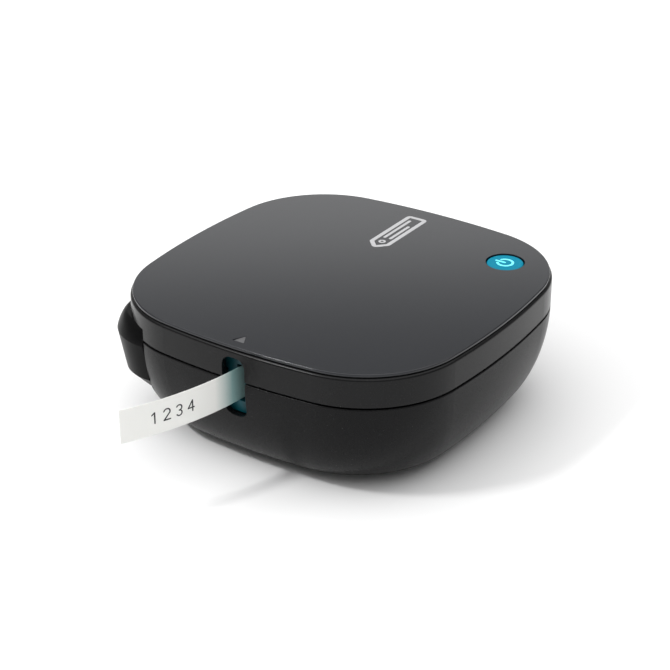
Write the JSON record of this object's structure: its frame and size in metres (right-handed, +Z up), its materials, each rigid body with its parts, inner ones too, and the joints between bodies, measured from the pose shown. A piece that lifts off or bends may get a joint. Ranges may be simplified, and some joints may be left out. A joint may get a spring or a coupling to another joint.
{
  "type": "label maker",
  "caption": "Square, round-cornered desktop label maker with a bowl-shaped base, hinged lid, power button, side cutter and a printed tape leaving the side slot.",
  "frame": {"origin": "centre of the case's outline, in the plane that the feet stand on", "axes": "+X to the user's right, away from the label slot; +Y to the back, where the lid is hinged; +Z up"},
  "size_m": [0.1692, 0.1313, 0.048],
  "materials": {
    "case_black": "fine satin grain, black",
    "plate_gloss": "polished, near black",
    "foot_rubber": "matt black",
    "button_teal": "satin teal with a lighter power symbol",
    "chassis_teal": "moulded, dark teal",
    "steel_bright": "bright",
    "contact_nickel": "nickel plated",
    "board_green": "solder mask",
    "part_black": "moulded",
    "shield_tin": "tin plated",
    "tape_white": "warm white, matt",
    "core_grey": "moulded",
    "cassette_grey": "moulded, light grey",
    "ceramic": "glazed",
    "sink_aluminium": "satin",
    "roller_rubber": "ground",
    "gear_white": "acetal",
    "pinion_brass": "machined",
    "motor_steel": "drawn can",
    "plate_steel": "stamped",
    "screw_steel": "black zinc",
    "bushing_bronze": "sintered",
    "blade_steel": "ground",
    "cell_jacket": "printed jacket, gloss"
  },
  "bodies": {
    "base": {"base_shell": "case_black", "inner_chassis": "chassis_teal", "battery_tray": "part_black", "main_board": "board_green", "board_chips": "part_black", "radio_module": "shield_tin", "switch_board": "board_green", "tact_switch": "part_black", "battery_1": "cell_jacket", "battery_2": "cell_jacket", "battery_3": "cell_jacket", "battery_4": "cell_jacket", "battery_contacts": "contact_nickel", "contact_springs": "contact_nickel", "motor": "motor_steel", "gear_plate": "plate_steel", "gear_plate_screws": "screw_steel", "idler_axle": "steel_bright", "platen_bushings": "bushing_bronze", "print_head": "ceramic", "heat_sink": "sink_aluminium", "cassette_base": "cassette_grey", "cassette_cover": "cassette_grey", "label_tape": "tape_white", "cutter_anvil": "blade_steel", "cutter_spring": "steel_bright", "rubber_feet": "foot_rubber", "case_screws": "screw_steel", "board_screws": "screw_steel", "cutter_pivot": "steel_bright"},
    "lid": {"lid_shell": "case_black", "top_plate": "plate_gloss", "hinge_pin": "steel_bright", "button_cup": "chassis_teal", "button_spring": "steel_bright"},
    "power_key": {"power_button": "button_teal"},
    "cutter_pad": {"cutter_button": "case_black"},
    "carriage": {"cutter_carriage": "chassis_teal", "cutter_blade": "blade_steel"},
    "platen": {"platen_shaft": "steel_bright", "platen_roller": "roller_rubber", "platen_gear": "gear_white"},
    "idler": {"idler_gear": "gear_white"},
    "rotor": {"motor_pinion": "pinion_brass", "motor_shaft": "steel_bright"},
    "roll": {"tape_roll": "tape_white", "roll_core": "core_grey"},
    "door": {"battery_door": "case_black"}
  },
  "joints": [
    {"name": "lid_hinge", "type": "hinge", "parent": "base", "child": "lid", "pos_m": [0, 0.0652, 0.036], "axis": [-1, 0, 0], "range_deg": [0, 95]},
    {"name": "power_press", "type": "slide", "parent": "lid", "child": "power_key", "axis": [0, 0, -1], "range_m": [0, 0.0008], "stiffness_N_per_m": 500, "springref_m": -0.0012, "deforming": ["button_spring"]},
    {"name": "cutter_press", "type": "hinge", "parent": "base", "child": "cutter_pad", "pos_m": [-0.0527, 0.0394, 0.028], "axis": [0, 0, -1], "range_deg": [0, 10]},
    {"name": "cutter_slide", "type": "slide", "parent": "base", "child": "carriage", "axis": [0, -1, 0], "range_m": [0, 0.00218], "stiffness_N_per_m": 1600, "springref_m": -0.0044, "deforming": ["cutter_spring"]},
    {"name": "tape_roll_turn", "type": "hinge", "parent": "base", "child": "roll", "pos_m": [0.004, 0.01989, 0.033], "axis": [0, 0, 1], "continuous": true},
    {"name": "platen_turn", "type": "hinge", "parent": "base", "child": "platen", "pos_m": [-0.044, -0.00569, 0.033], "axis": [0, 0, 1], "continuous": true},
    {"name": "idler_turn", "type": "hinge", "parent": "base", "child": "idler", "pos_m": [-0.04089, -0.01728, 0.022], "axis": [0, 0, 1], "continuous": true},
    {"name": "motor_turn", "type": "hinge", "parent": "base", "child": "rotor", "pos_m": [-0.04138, -0.03107, 0.02], "axis": [0, 0, 1], "continuous": true},
    {"name": "battery_door_hinge", "type": "hinge", "parent": "base", "child": "door", "pos_m": [0, -0.0271, 0.0018], "axis": [-1, 0, 0], "range_deg": [0, 100]}
  ],
  "couplings": [
    {"joint": "cutter_press", "follows": "cutter_slide", "rad_per_m": 80},
    {"joint": "platen_turn", "follows": "tape_roll_turn", "ratio": -4.04},
    {"joint": "idler_turn", "follows": "tape_roll_turn", "ratio": 9.4267},
    {"joint": "motor_turn", "follows": "tape_roll_turn", "ratio": -33.936}
  ]
}
